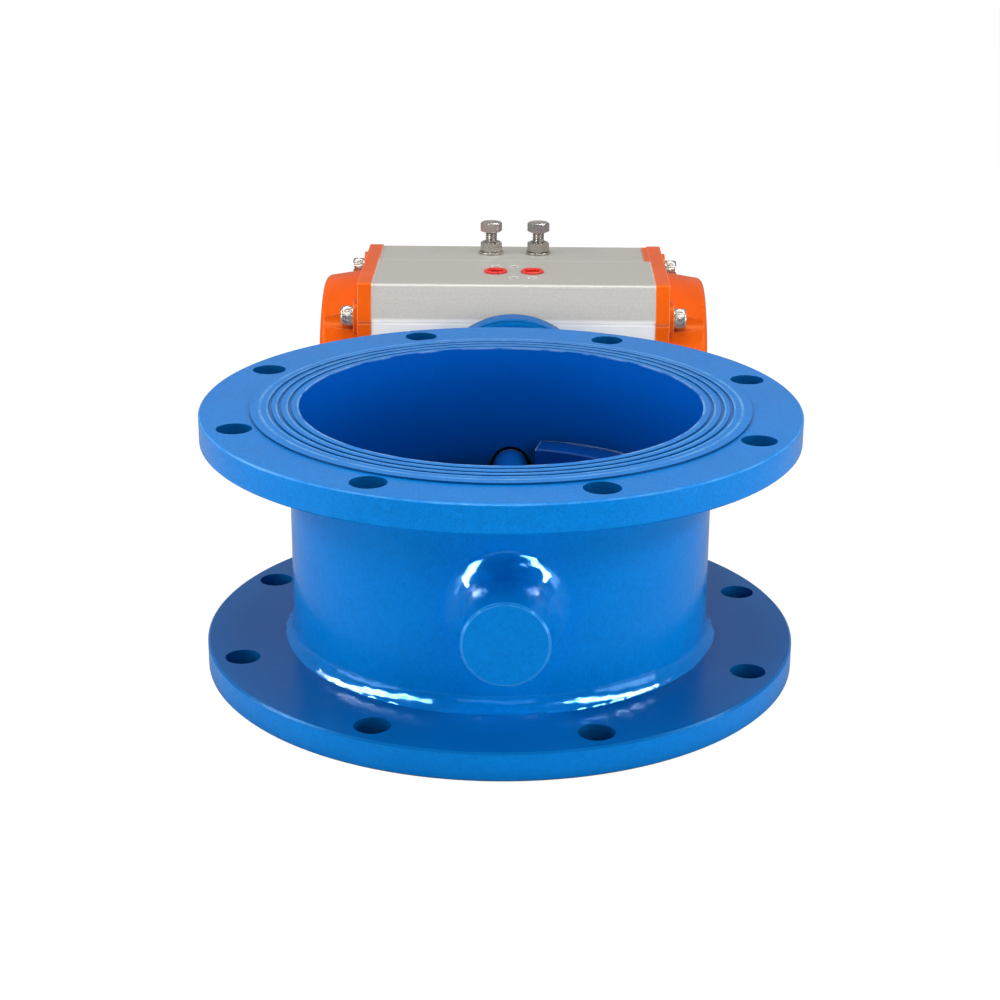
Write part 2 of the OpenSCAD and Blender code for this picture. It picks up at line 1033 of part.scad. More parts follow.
module port_plugs() {
    color("red")
        for (x = [-1, 1])
            translate([stem_offset + x * port_spacing / 2, port_y, stem_z + port_face_h])
                difference() {
                    union() {
                        cylinder(h = plug_flange_t, d = 15);
                        translate([0, 0, -10])
                            cylinder(h = 10 + eps, d = port_d);
                    }
                    translate([0, 0, -8])
                        cylinder(h = 12, d = 8);
                }
}

body_tube();
upper_flange();
lower_flange();
upper_flange_weld();
lower_flange_weld();
blind_boss();
blind_boss_weld();
drive_neck();
drive_neck_weld();
mounting_flange();
mounting_flange_weld();
upper_seat_ledge();
lower_seat_ledge();
disc();
stem();
stem_pins();
front_bush();
rear_bush();
packing_rings();
gland_nut();
mount_bolts();
cylinder_body();
left_end_cap();
right_end_cap();
left_cap_seal();
right_cap_seal();
left_cap_screws();
right_cap_screws();
left_piston();
right_piston();
left_piston_seal();
right_piston_seal();
left_piston_guide();
right_piston_guide();
pinion();
stop_cam();
lower_pinion_bush();
upper_pinion_bush();
lower_pinion_seal();
upper_pinion_seal();
thrust_washer();
retaining_ring();
indicator_puck();
indicator_screw();
drive_adapter();
stop_bolt_left();
stop_bolt_right();
stop_nuts();
stop_washers();
port_plugs();
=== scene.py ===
"""Looks of a pneumatic actuated butterfly valve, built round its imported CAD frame.

Everything is in metres and in the CAD's own frame: +Z up the pipe, +Y along the stem towards
the actuator, +X along the actuator's cylinder.
"""
import json
import math

import bmesh
import bpy
from mathutils import Matrix, Vector, noise

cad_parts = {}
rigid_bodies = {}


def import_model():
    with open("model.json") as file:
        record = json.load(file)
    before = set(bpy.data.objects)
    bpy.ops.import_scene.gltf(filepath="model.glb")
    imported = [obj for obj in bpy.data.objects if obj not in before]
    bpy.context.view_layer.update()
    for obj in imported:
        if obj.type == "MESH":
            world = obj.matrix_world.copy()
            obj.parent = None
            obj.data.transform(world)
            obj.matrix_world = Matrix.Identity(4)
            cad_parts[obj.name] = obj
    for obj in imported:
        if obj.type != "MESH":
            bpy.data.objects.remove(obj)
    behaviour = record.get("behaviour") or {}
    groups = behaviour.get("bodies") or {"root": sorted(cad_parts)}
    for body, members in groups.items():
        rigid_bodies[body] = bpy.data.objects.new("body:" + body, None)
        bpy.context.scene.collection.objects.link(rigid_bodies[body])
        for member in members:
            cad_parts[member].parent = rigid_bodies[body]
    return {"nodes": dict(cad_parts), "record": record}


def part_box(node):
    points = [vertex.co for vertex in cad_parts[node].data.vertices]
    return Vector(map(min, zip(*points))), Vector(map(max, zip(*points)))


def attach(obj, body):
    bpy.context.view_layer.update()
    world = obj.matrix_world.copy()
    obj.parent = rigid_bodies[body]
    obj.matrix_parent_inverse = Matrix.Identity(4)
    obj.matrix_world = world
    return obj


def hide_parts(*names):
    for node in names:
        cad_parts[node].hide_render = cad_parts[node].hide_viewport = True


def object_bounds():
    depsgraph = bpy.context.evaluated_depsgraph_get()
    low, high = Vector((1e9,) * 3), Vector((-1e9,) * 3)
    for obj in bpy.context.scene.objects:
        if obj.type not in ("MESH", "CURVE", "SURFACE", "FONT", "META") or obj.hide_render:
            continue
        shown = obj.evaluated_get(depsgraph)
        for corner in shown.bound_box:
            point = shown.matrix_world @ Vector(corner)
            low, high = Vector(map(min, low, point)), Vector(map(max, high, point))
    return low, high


MM = 0.001

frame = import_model()
cad_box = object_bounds()
nodes = frame["nodes"]
record = frame["record"]


# ---------------------------------------------------------------- places from the frame

def middle(node):
    """The middle of a node's box."""
    low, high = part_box(node)
    return (low + high) / 2


def size(node):
    """The lengths of a node's box."""
    low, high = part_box(node)
    return high - low


def mount(name):
    """The record's mount of that name."""
    return next(m for m in record["mounts"] if m["name"] == name)


STEM = middle("stem")                      # a point on the stem axis
STEM_X = STEM.x
STEM_Z = STEM.z
PIPE_R = size("body_tube").x / 2
DUCT_R = 104 * MM                          # the pipe's bore
PLATE_LOW_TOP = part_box("body_tube")[0].z   # upper side of the lower plate
PLATE_HIGH_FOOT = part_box("body_tube")[1].z  # underside of the upper plate
BOSS_R = size("blind_boss").x / 2
NECK_R = size("drive_neck").x / 2
NECK_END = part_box("mounting_flange")[0].y
PORT_FACE = mount("port_face_near_holes")["pos_m"][2]
LEDGE_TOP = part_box("upper_seat_ledge")[1].z
LEDGE_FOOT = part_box("lower_seat_ledge")[0].z
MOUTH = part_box("upper_flange")[1].z        # level of the duct's upper mouth
FACE_R = mount("upper_raised_face")["pos_m"][0]
FLANGE_R = size("upper_flange").x / 2
GROOVES = (118.7 * MM, 113.9 * MM, 108.6 * MM)  # middles of the turned grooves
GROOVE_HALF = 0.7 * MM                     # half of a groove's floor, which gets a painted shade
GROOVE_RIM = 1.4 * MM                      # from a groove's middle to the painted highlight along its outer edge
BOLT_RING = (126 * MM, 153 * MM)           # the flange between its raised face and its rim
STEM_BARE_FROM = 103 * MM                  # where the spray on the stem begins to give out
SHOULDER = PORT_FACE - 22 * MM             # foot of the cylinder's upper bevel
STOP_HEAD_H = 6.5 * MM
MOUNT_HEAD_H = 5.3 * MM
PLUG_R = 7.5 * MM
M8_R = 4 * MM
M8_PITCH = 1.25 * MM
M8_HEX = 13 * MM                           # across flats
THREAD_DEPTH = 0.61                        # share of the pitch


# ---------------------------------------------------------------- colours

BLUE = (0.0, 0.172, 0.56)
# painted shade: a darker copy of the blue for the inside of the duct
DUCT_SHADE_BLUE = (0.0, 0.104, 0.50)
# painted shade: a dark copy of the blue for the ledges' flats
LEDGE_SHADE_BLUE = (0.0, 0.036, 0.20)
# painted highlight: a pale blue for the runs along the ledges
RUN_HIGHLIGHT_BLUE = (0.42, 0.62, 0.90)
WORN_AND_LIT_EDGE = (0.20, 0.50, 0.85)             # enamel thinned by wear on edges, and painted edge highlight
# painted highlight along the duct's upper mouth
LIP_HIGHLIGHT_BLUE = (0.42, 0.70, 0.95)
# painted highlight along the ledges' top edges
LEDGE_EDGE_HIGHLIGHT = (0.75, 0.88, 1.0)
ORANGE = (0.78, 0.098, 0.003)
# painted highlight along the caps' edges
ORANGE_EDGE_HIGHLIGHT = (1.0, 0.50, 0.25)
ALLOY = (0.54, 0.52, 0.48)
# painted light: the paler alloy of the cylinder's lower wall
ALLOY_LIT_BELOW = (0.97, 0.95, 0.90)
# painted highlight along the alloy's edges
ALLOY_EDGE_HIGHLIGHT = (0.98, 0.97, 0.94)
STEM_DARK = (0.36, 0.34, 0.31)
STEM_PALE = (0.56, 0.54, 0.50)
BLUE_SHINE = (0.12, 0.5, 1.0)              # tints of reflections
WELD_SHINE = (0.15, 0.5, 1.0)
ORANGE_SHINE = (1.0, 0.45, 0.1)
WHITE_SHINE = (1.0, 1.0, 1.0)


# ---------------------------------------------------------------- node helpers

class Graph:
    """A material's node tree, with short calls for the nodes used here."""

    def __init__(self, name):
        self.material = bpy.data.materials.new(name)
        self.material.use_nodes = True
        self.tree = self.material.node_tree
        self.tree.nodes.clear()
        self.out = self.node("ShaderNodeOutputMaterial")
        self.shader = self.node("ShaderNodeBsdfPrincipled")
        self.link(self.shader.outputs[0], self.out.inputs["Surface"])
        self.place = self.node("ShaderNodeTexCoord").outputs["Object"]

    def node(self, kind, **settings):
        made = self.tree.nodes.new(kind)
        for key, value in settings.items():
            setattr(made, key, value)
        return made

    def link(self, a, b):
        self.tree.links.new(a, b)

    def put(self, socket, value):
        if isinstance(value, bpy.types.NodeSocket):
            self.link(value, socket)
        else:
            socket.default_value = value

    def set(self, **values):
        for key, value in values.items():
            socket = self.shader.inputs[key.replace("_", " ")]
            if socket.type == "RGBA" and isinstance(value, tuple):
                value = (*value, 1.0)
            self.put(socket, value)

    def stretch(self, x=1.0, y=1.0, z=1.0):
        made = self.node("ShaderNodeMapping")
        self.link(self.place, made.inputs["Vector"])
        made.inputs["Scale"].default_value = (x, y, z)
        return made.outputs["Vector"]

    def noise(self, scale, detail=2.0, rough=0.5, vector=None):
        made = self.node("ShaderNodeTexNoise")
        self.link(vector or self.place, made.inputs["Vector"])
        made.inputs["Scale"].default_value = scale
        made.inputs["Detail"].default_value = detail
        made.inputs["Roughness"].default_value = rough
        return made.outputs["Fac"]

    def band(self, value, low, high, to_low=0.0, to_high=1.0):
        """value stretched so that low gives to_low and high gives to_high, and held outside."""
        made = self.node("ShaderNodeMapRange")
        self.put(made.inputs["Value"], value)
        limits = {"From Min": low, "From Max": high, "To Min": to_low, "To Max": to_high}
        for key, number in limits.items():
            made.inputs[key].default_value = number
        return made.outputs["Result"]

    def math(self, operation, a, b=0.0):
        made = self.node("ShaderNodeMath", operation=operation)
        self.put(made.inputs[0], a)
        self.put(made.inputs[1], b)
        return made.outputs[0]

    def mix(self, share, a, b):
        made = self.node("ShaderNodeMix", data_type="RGBA", blend_type="MIX")
        self.put(made.inputs["Factor"], share)
        for socket, colour in ((made.inputs[6], a), (made.inputs[7], b)):
            self.put(socket, colour if isinstance(colour, bpy.types.NodeSocket) else (*colour, 1.0))
        return made.outputs[2]

    def edge(self, radius):
        """1 on sharp edges within radius, 0 on open faces."""
        bevel = self.node("ShaderNodeBevel", samples=4)
        bevel.inputs["Radius"].default_value = radius
        flat = self.node("ShaderNodeNewGeometry").outputs["Normal"]
        dot = self.node("ShaderNodeVectorMath", operation="DOT_PRODUCT")
        self.link(bevel.outputs["Normal"], dot.inputs[0])
        self.link(flat, dot.inputs[1])
        return self.band(dot.outputs["Value"], 0.995, 0.85)

    def crevice_shade(self, distance):
        """Painted shade: 1 deep in corners, 0 on open faces."""
        made = self.node("ShaderNodeAmbientOcclusion", samples=4)
        made.inputs["Distance"].default_value = distance
        return self.band(made.outputs["AO"], 0.80, 0.35)

    def bump(self, *layers):
        """Layers of (height, strength, distance) stacked into one normal."""
        normal = None
        for height, strength, distance in layers:
            made = self.node("ShaderNodeBump")
            self.put(made.inputs["Height"], height)
            made.inputs["Strength"].default_value = strength
            made.inputs["Distance"].default_value = distance
            if normal is not None:
                self.link(normal, made.inputs["Normal"])
            normal = made.outputs["Normal"]
        self.link(normal, self.shader.inputs["Normal"])


def shade(colour, factor):
    """A colour made darker or lighter, held at 1."""
    return tuple(min(1.0, c * factor) for c in colour)


# ---------------------------------------------------------------- materials

def from_axis(g):
    """Distance from the pipe's axis."""
    flat = g.node("ShaderNodeVectorMath", operation="MULTIPLY")
    g.link(g.place, flat.inputs[0])
    flat.inputs[1].default_value = (1, 1, 0)
    length = g.node("ShaderNodeVectorMath", operation="LENGTH")
    g.link(flat.outputs[0], length.inputs[0])
    return length.outputs["Value"]


def facing_up(g):
    """1 on faces that look up, 0 on walls."""
    split = g.node("ShaderNodeSeparateXYZ")
    g.link(g.node("ShaderNodeNewGeometry").outputs["Normal"], split.inputs[0])
    return g.band(split.outputs["Z"], 0.3, 0.8)


def duct_shade_share(g):
    """1 on the duct's own wall, which gets a painted shade, 0 outside it."""
    return g.band(from_axis(g), DUCT_R + 0.6 * MM, DUCT_R + 0.2 * MM)


def bolt_hole_shade_share(g):
    """1 on the walls of the flange's bolt holes, which get a painted shade."""
    inner, outer = BOLT_RING
    past_face = g.band(from_axis(g), inner, inner + 2 * MM)
    before_rim = g.band(from_axis(g), outer, outer - 2 * MM)
    reach = g.math("MULTIPLY", past_face, before_rim)
    return g.math("MULTIPLY", reach, g.band(facing_up(g), 0.0, 1.0, 1.0, 0.0))


def height(g):
    """The level z."""
    split = g.node("ShaderNodeSeparateXYZ")
    g.link(g.place, split.inputs[0])
    return split.outputs["Z"]


def bore_lip_highlight(g):
    """1 in broken lengths along the duct's sharp upper mouth, for a painted highlight."""
    off = g.math("ABSOLUTE", g.math("SUBTRACT", from_axis(g), DUCT_R + 0.3 * MM))
    near = g.band(off, 0.9 * MM, 0.3 * MM)
    rim = g.math("MULTIPLY", near, g.band(height(g), MOUTH - 0.8 * MM, MOUTH - 0.5 * MM))
    return g.math("MULTIPLY", rim, g.band(g.noise(60.0, 3.0), 0.42, 0.55))


def enamel_layers(g, colour, peel, grain, gloss, wear=0.7, top=1.0):
    """Base colour, roughness and bump of a thick sprayed gloss enamel.

    peel scales the orange peel, grain the fine specks, and wear the pale edges, partly wear and partly
    painted highlight; gloss is the lowest roughness, and top is a painted shadow on faces that look up.
    """
    clouds = g.noise(14.0, 3.0)
    mottle = g.noise(300.0, 2.0)
    speck = g.noise(1100.0, 2.0, 0.7)
    duct = duct_shade_share(g)
    outside = g.band(duct, 0.0, 1.0, 1.0, 0.0)
    base = g.mix(g.band(clouds, 0.35, 0.65), shade(colour, 0.94), shade(colour, 1.05))
    base = g.mix(g.band(mottle, 0.3, 0.7, 0.0, 0.42), base, shade(colour, 0.74))
    base = g.mix(g.band(speck, 0.38, 0.70, 0.0, 0.26 + grain), base, shade(colour, 1.5))
    # painted shadow: faces that look up are coloured darker
    if top < 1.0:
        base = g.mix(facing_up(g), base, shade(colour, top))
    # painted shade inside the duct: darker than outside, and darker still towards the bottom
    deep = g.mix(g.band(height(g), 0.070, 0.132), shade(DUCT_SHADE_BLUE, 0.52), shade(DUCT_SHADE_BLUE, 1.12))
    base = g.mix(duct, base, deep)
    # pale edges: partly wear, partly a painted highlight
    if wear:
        wear_and_glint = g.band(g.noise(180.0, 3.0), 0.25, 0.6, 0.35, 1.0)
        edge_wear_and_glint = g.math("MULTIPLY", g.edge(0.8 * MM), wear_and_glint)
        base = g.mix(g.math("MULTIPLY", edge_wear_and_glint, g.math("MULTIPLY", outside, wear)), base, WORN_AND_LIT_EDGE)
    # painted shade in corners, hole walls and beneath the plates
    base = g.mix(g.math("MULTIPLY", g.crevice_shade(12 * MM), 0.8), base, shade(colour, 0.2))
    # painted shade in narrow grooves and joints
    base = g.mix(g.math("MULTIPLY", g.crevice_shade(1.2 * MM), 0.45), base, shade(colour, 0.45))
    rough = g.band(g.noise(55.0, 3.0), 0.3, 0.7, gloss, gloss + 0.08)
    layers = (
        (g.noise(24.0, 2.0), 0.07 * peel, 2.0 * MM),
        (g.noise(260.0, 2.0), 0.28 * peel, 0.40 * MM),
        (speck, 0.20 + 2 * grain, 0.14 * MM),
    )
    return base, rough, layers


def enamel(name, colour, peel=1.0, grain=0.0, gloss=0.13, tint=BLUE_SHINE, shine=0.5, wear=0.7):
    """Thick sprayed gloss enamel on steel: orange peel, soft runs, fine specks, edges pale from wear and a
    painted highlight, painted shade in corners.
    """
    g = Graph(name)
    base, rough, layers = enamel_layers(g, colour, peel, grain, gloss, wear)
    g.set(Base_Color=base, Roughness=rough, Specular_Tint=tint, Specular_IOR_Level=shine)
    g.bump(*layers)
    return g.material


def groove_lines(g):
    """Two shares on the upper turned face: 1 in the grooves, for a painted shade, and 1 along their edges
    and the rims, for a painted highlight.
    """
    r = from_axis(g)
    dark = 0.0
    light = 0.0
    for groove in GROOVES:
        off = g.math("SUBTRACT", r, groove)
        inside = g.band(g.math("ABSOLUTE", off), GROOVE_HALF + 0.3 * MM, GROOVE_HALF)
        dark = g.math("MAXIMUM", dark, inside)
        rim = g.math("ABSOLUTE", g.math("SUBTRACT", off, GROOVE_RIM))
        light = g.math("MAXIMUM", light, g.band(rim, 0.7 * MM, 0.2 * MM))
    for edge in (FACE_R, FLANGE_R):
        off = g.math("ABSOLUTE", g.math("SUBTRACT", r, edge))
        light = g.math("MAXIMUM", light, g.band(off, 1.0 * MM, 0.4 * MM))
    turned = g.band(height(g), MOUTH - 2.0 * MM, MOUTH - 1.5 * MM)
    return g.math("MULTIPLY", dark, turned), g.math("MULTIPLY", light, turned)


def flange_enamel(name, colour, peel, grain, gloss, top=1.0):
    """Enamel on a drilled flange: turned grooves with painted shade and highlight lines, painted shade in
    the bolt holes and a painted highlight along the duct mouth.
    """
    g = Graph(name)
    base, rough, layers = enamel_layers(g, colour, peel, grain, gloss, 0.0, top)
    dark, light = groove_lines(g)
    # painted highlight along the groove edges and the rims, broken into lengths
    wear_and_glint = g.band(g.noise(90.0, 2.0), 0.35, 0.6, 0.15, 0.45)
    base = g.mix(g.math("MULTIPLY", light, wear_and_glint), base, WORN_AND_LIT_EDGE)
    # painted shade in the grooves
    base = g.mix(g.math("MULTIPLY", dark, 0.12), base, shade(colour, 0.45))
    # painted highlight along the duct's mouth
    base = g.mix(g.math("MULTIPLY", bore_lip_highlight(g), 0.35), base, LIP_HIGHLIGHT_BLUE)
    # painted shade on the bolt-hole walls
    base = g.mix(g.math("MULTIPLY", bolt_hole_shade_share(g), 0.55), base, shade(colour, 0.12))
    g.set(Base_Color=base, Roughness=rough, Specular_Tint=BLUE_SHINE)
    g.bump(*layers)
    return g.material


def ledge_enamel(name):
    """The same enamel on a rough flame-cut ledge: painted shade on its flats and painted highlights along
    its ragged top edges.
    """
    g = Graph(name)
    speck = g.noise(700.0, 3.0, 0.6)
    ragged = g.noise(140.0, 3.0)
    high = g.band(height(g), LEDGE_TOP - 1.6 * MM, LEDGE_TOP - 0.8 * MM)
    # painted shade on the ledge's flats
    base = g.mix(g.band(speck, 0.35, 0.7), LEDGE_SHADE_BLUE, shade(LEDGE_SHADE_BLUE, 1.4))
    # painted highlight along the ragged top edges
    line = g.math("MULTIPLY", g.edge(0.9 * MM), g.band(ragged, 0.3, 0.5, 0.3, 1.0))
    base = g.mix(g.math("MULTIPLY", line, high), base, LEDGE_EDGE_HIGHLIGHT)
    g.set(Base_Color=base, Roughness=g.band(speck, 0.3, 0.7, 0.35, 0.55))
    g.set(Specular_Tint=BLUE_SHINE, Specular_IOR_Level=0.25)
    g.bump((ragged, 0.25, 0.8 * MM), (speck, 0.2, 0.2 * MM))
    return g.material


def stem_finish(name):
    """Turned stainless shaft, caught by the spray where it crosses the duct."""
    g = Graph(name)
    base, rough, layers = enamel_layers(g, BLUE, 0.5, 0.0, 0.15)
    split = g.node("ShaderNodeSeparateXYZ")
    g.link(g.place, split.inputs[0])
    reach = g.math("ABSOLUTE", split.outputs["Y"])
    edge = g.math("ADD", reach, g.band(g.noise(300.0, 2.0), 0.3, 0.7, -0.8 * MM, 0.8 * MM))
    bare = g.band(edge, STEM_BARE_FROM, STEM_BARE_FROM + 1 * MM)
    marks = g.noise(900.0, 2.0, 0.6, g.stretch(1.0, 0.05, 1.0))
    steel = g.mix(g.band(marks, 0.3, 0.7), STEM_DARK, STEM_PALE)
    g.set(Base_Color=g.mix(bare, base, steel), Metallic=bare)
    g.set(Roughness=g.band(g.math("ADD", bare, g.math("MULTIPLY", rough, 0.1)), 0.0, 1.0, 0.50, 0.28))
    g.set(Specular_Tint=BLUE_SHINE)
    g.bump(*layers)
    return g.material


def powder_coat(name, colour):
    """Semi-gloss powder coat on a casting: fine even orange peel over a faint cast unevenness."""
    g = Graph(name)
    peel = g.noise(620.0, 2.0)
    base = g.mix(g.band(g.noise(18.0, 2.0), 0.35, 0.65), shade(colour, 0.94), shade(colour, 1.06))
    base = g.mix(g.band(peel, 0.35, 0.7, 0.0, 0.16), base, shade(colour, 0.75))
    # painted highlight along the edges
    base = g.mix(g.math("MULTIPLY", g.edge(1.2 * MM), 0.5), base, ORANGE_EDGE_HIGHLIGHT)
    # painted shade in corners
    base = g.mix(g.math("MULTIPLY", g.crevice_shade(5 * MM), 0.5), base, shade(colour, 0.4))
    g.set(Base_Color=base)
    g.set(Roughness=g.band(g.noise(80.0, 2.0), 0.3, 0.7, 0.26, 0.38))
    g.set(Specular_Tint=ORANGE_SHINE)
    g.bump(
        (g.noise(45.0, 2.0), 0.08, 1.2 * MM),
        (peel, 0.14, 0.25 * MM),
    )
    return g.material


def anodised(name, colour, metallic=0.75, lit_below=0.0):
    """Bead-blasted and anodised extrusion: sparkle grain, and faint draw lines along X.

    The last argument is the level under which the alloy is coloured paler, a painted light on the lower
    wall; the edges carry a painted highlight.
    """
    g = Graph(name)
    grain = g.noise(1400.0, 2.0, 0.7)
    lines = g.noise(700.0, 3.0, 0.6, g.stretch(0.02, 1.0, 1.0))
    base = g.mix(g.band(grain, 0.3, 0.7), shade(colour, 0.86), shade(colour, 1.12))
    base = g.mix(g.band(lines, 0.4, 0.7, 0.0, 0.22), base, shade(colour, 0.8))
    # painted light: paler below the given level
    if lit_below:
        base = g.mix(g.band(height(g), lit_below + 1 * MM, lit_below - 1 * MM), base, ALLOY_LIT_BELOW)
    # painted shade in narrow grooves
    base = g.mix(g.math("MULTIPLY", g.crevice_shade(1.0 * MM), 0.6), base, shade(colour, 0.3))
    # painted highlight along the edges
    base = g.mix(g.math("MULTIPLY", g.edge(1.8 * MM), 0.9), base, ALLOY_EDGE_HIGHLIGHT)
    g.set(Base_Color=base, Metallic=metallic)
    g.set(Roughness=g.band(grain, 0.3, 0.7, 0.38, 0.56))
    g.bump(
        (lines, 0.10, 0.10 * MM),
        (grain, 0.22, 0.10 * MM),
    )
    return g.material


def metal(name, colour, rough=0.24, turned=False, wear=0.3, metallic=1.0):
    """Machined metal: fine tool marks, stained patches, bright edges."""
    g = Graph(name)
    fine = g.noise(1800.0, 2.0, 0.6, g.stretch(1.0, 0.05, 1.0) if turned else None)
    stain = g.noise(160.0, 4.0, 0.6)
    base = g.mix(g.band(stain, 0.4, 0.7, 0.0, wear), colour, shade(colour, 0.55))
    base = g.mix(g.math("MULTIPLY", g.edge(0.35 * MM), 0.6), base, shade(colour, 1.6))
    # painted shade in corners
    base = g.mix(g.math("MULTIPLY", g.crevice_shade(2.5 * MM), 0.6), base, shade(colour, 0.3))
    g.set(Base_Color=base, Metallic=metallic)
    g.set(Roughness=g.band(fine, 0.3, 0.7, rough * 0.8, rough * 1.4))
    g.bump((fine, 0.12, 0.06 * MM), (stain, 0.05, 0.2 * MM))
    return g.material


def plastic(name, colour, rough=0.3, glow=0.0):
    """Moulded plastic or rubber: faint flow marks and dulled high spots."""
    g = Graph(name)
    flow = g.noise(220.0, 3.0, 0.5, g.stretch(1.0, 0.4, 1.0))
    base = g.mix(g.band(flow, 0.35, 0.7), shade(colour, 0.9), shade(colour, 1.1))
    # painted shade in corners
    base = g.mix(g.math("MULTIPLY", g.crevice_shade(3 * MM), 0.5), base, shade(colour, 0.45))
    g.set(Base_Color=base)
    g.set(Roughness=g.band(g.noise(500.0, 2.0), 0.3, 0.7, rough * 0.85, rough * 1.25))
    g.set(Subsurface_Weight=glow, Subsurface_Radius=(2 * MM, 0.6 * MM, 0.4 * MM), Subsurface_Scale=1.0)
    g.bump((flow, 0.06, 0.2 * MM), (g.noise(1200.0, 1.0), 0.06, 0.08 * MM))
    return g.material


materials = {
    "blue_paint": enamel("blue_enamel", BLUE, peel=0.7, gloss=0.08),
    "face_paint": flange_enamel("blue_enamel_on_turned_face", BLUE, peel=1.0, grain=0.28, gloss=0.20),
    # painted shadow on the lower plate's upward faces, under the upper plate
    "plate_paint": flange_enamel("blue_enamel_on_plate", BLUE, peel=0.8, grain=0.0, gloss=0.17, top=0.62),
    "pipe_paint": enamel("blue_enamel_over_scale", BLUE, peel=1.3, grain=0.08, shine=0.3),
    "ledge_paint": ledge_enamel("blue_enamel_on_ledge"),
    # painted shade: a darker copy of the blue for the round mounting flange
    "dull_paint": enamel("blue_undercoat", shade(BLUE, 0.68), gloss=0.35, shine=0.2),
    "weld_paint": enamel("blue_enamel_over_weld", BLUE, peel=0.7, gloss=0.05, tint=WELD_SHINE, wear=0.0),
    # the runs' pale colour is a painted highlight along the ledges
    "pale_run": enamel("blue_enamel_thin_on_run", RUN_HIGHLIGHT_BLUE, gloss=0.05, tint=WHITE_SHINE, wear=0.0),
    "stem": stem_finish("part_painted_stem"),
    "orange_cap": powder_coat("orange_powder_coat", ORANGE),
    "cylinder_alloy": anodised("anodised_extrusion", ALLOY, 0.30, SHOULDER),
    "bare_alloy": metal("machined_alloy", (0.93, 0.93, 0.91), 0.3, metallic=0.3),
    "piston_alloy": anodised("die_cast_alloy", (0.62, 0.62, 0.60), 0.9),
    "stainless": metal("stainless", (0.52, 0.49, 0.45), 0.22, metallic=0.9),
    "gear_steel": metal("nickel_plated_steel", (0.42, 0.41, 0.39), 0.3, turned=True),
    "bronze": metal("bearing_bronze", (0.62, 0.40, 0.18), 0.35, turned=True),
    "seal_rubber": plastic("nitrile", (0.02, 0.02, 0.021), 0.55),
    "low_friction": plastic("filled_polymer", (0.78, 0.76, 0.70), 0.45),
    "indicator_orange": plastic("moulded_orange", (0.85, 0.17, 0.02), 0.3),
    "plug_red": plastic("moulded_red", (0.75, 0.028, 0.016), 0.25, glow=0.08),
}

slot_of = {row["node"]: row["material_slot"] for row in record["subparts"]}


def paint(piece, material):
    """Gives a piece one material in place of its own."""
    piece.data.materials.clear()
    piece.data.materials.append(material)


# ---------------------------------------------------------------- CAD nodes that stay

BEVELS = {                                 # width of the rounded edges in millimetres
    "blind_boss": 0.5, "mounting_flange": 1.6,
    "upper_seat_ledge": 1.0, "lower_seat_ledge": 1.0, "disc": 0.8, "drive_neck": 0.4,
    "cylinder_body": 0.35, "left_end_cap": 0.6, "right_end_cap": 0.6,
    "stop_washers": 0.25, "indicator_puck": 0.8, "stop_cam": 0.4,
    "left_piston": 0.4, "right_piston": 0.4, "drive_adapter": 0.3,
}


def soften(piece, width):
    """Welds split corners, rounds sharp edges, and lets the large faces rule the shading."""
    weld = piece.modifiers.new("weld", "WELD")
    weld.merge_threshold = 0.002 * MM
    bevel = piece.modifiers.new("bevel", "BEVEL")
    bevel.width = width * MM
    bevel.segments = 3
    bevel.limit_method = "ANGLE"
    bevel.angle_limit = math.radians(32)
    bevel.use_clamp_overlap = True
    even = piece.modifiers.new("even", "WEIGHTED_NORMAL")
    even.weight = 50


for name, piece in nodes.items():
    paint(piece, materials[slot_of[name]])
    if name in BEVELS:
        soften(piece, BEVELS[name])
paint(nodes["body_tube"], materials["pipe_paint"])
paint(nodes["upper_flange"], materials["face_paint"])
paint(nodes["lower_flange"], materials["plate_paint"])
paint(nodes["mounting_flange"], materials["dull_paint"])
paint(nodes["upper_seat_ledge"], materials["ledge_paint"])
paint(nodes["lower_seat_ledge"], materials["ledge_paint"])
paint(nodes["stem"], materials["stem"])


# ---------------------------------------------------------------- mesh helpers

def add_piece(name, mesh, body, material, smooth):
    """Puts a mesh in the scene, riding on a body; smooth is its sharpest smooth edge in degrees."""
    mesh.materials.append(materials[material])
    piece = bpy.data.objects.new(name, mesh)
    bpy.context.scene.collection.objects.link(piece)
    for face in mesh.polygons:
        face.use_smooth = True
    mesh.set_sharp_from_angle(angle=math.radians(smooth))
    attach(piece, body)
    return piece


def grid_mesh(name, rings, close_rows=True, caps=False):
    """A closed skin over rings of points; every ring is a closed loop of the same length.

    Either the last ring joins the first (close_rows), or both ends are capped (caps).
    """
    count = len(rings[0])
    vertices = [p for ring in rings for p in ring]
    faces = []
    rows = len(rings)
    for i in range(rows if close_rows else rows - 1):
        j = (i + 1) % rows
        for k in range(count):
            n = (k + 1) % count
            faces.append((i * count + k, i * count + n, j * count + n, j * count + k))
    if caps:
        faces.append(tuple(reversed(range(count))))
        faces.append(tuple((rows - 1) * count + k for k in range(count)))
    mesh = bpy.data.meshes.new(name)
    mesh.from_pydata(vertices, [], faces)
    tidy_normals(mesh)
    return mesh


def tidy_normals(mesh):
    """Turns every face outwards."""
    work = bmesh.new()
    work.from_mesh(mesh)
    bmesh.ops.recalc_face_normals(work, faces=work.faces)
    work.to_mesh(mesh)
    work.free()
    mesh.update()


def join(name, meshes):
    """One mesh from several (mesh, matrix) pairs."""
    work = bmesh.new()
    for mesh, matrix in meshes:
        part = mesh.copy()
        part.transform(matrix)
        work.from_mesh(part)
        bpy.data.meshes.remove(part)
    made = bpy.data.meshes.new(name)
    work.to_mesh(made)
    work.free()
    return made


def lumps(point, scale, seed):
    """Smooth unevenness between about -1 and 1."""
    return noise.noise(point * scale + Vector((seed, seed * 1.7, -seed)))


def spin(k, count):
    """The angle of step k out of count round a full turn."""
    return 2 * math.pi * k / count


